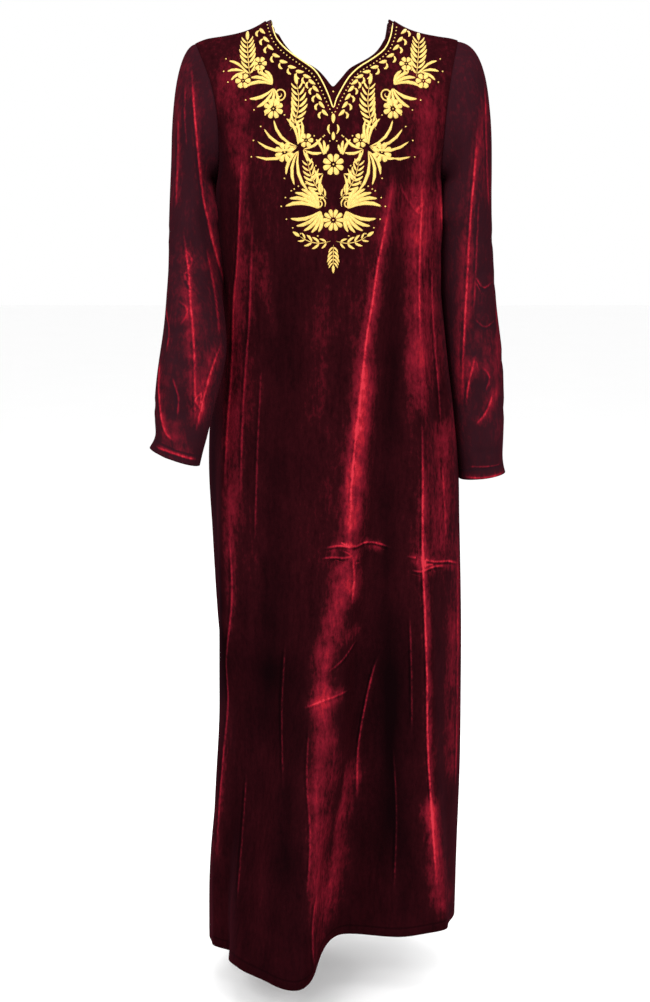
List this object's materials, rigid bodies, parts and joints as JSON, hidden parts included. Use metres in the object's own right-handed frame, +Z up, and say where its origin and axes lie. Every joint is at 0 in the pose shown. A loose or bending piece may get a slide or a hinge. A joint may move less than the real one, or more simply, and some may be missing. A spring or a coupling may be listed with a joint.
{
  "type": "abaya",
  "caption": "Ankle-length velvet abaya with long set-in sleeves, a notched round neck and a pointed gold embroidered yoke, hollow and hanging as worn.",
  "frame": {"origin": "midway between the two neck points of the shoulder seams, where shoulders or a hanger carry the garment", "axes": "+Z up, the front faces -Y, +X to the right as the front is seen"},
  "size_m": [0.5299, 0.3243, 1.4412],
  "materials": {
    "velvet": "dark red velvet pile, darker along the sight line and bright on the crests of folds",
    "velvet_band": "the same dark red velvet, folded over the neck edge"
  },
  "bodies": {
    "root": {"front": "velvet", "back": "velvet", "sleeve_left": "velvet", "sleeve_right": "velvet", "neck_binding": "velvet_band"}
  },
  "joints": []
}
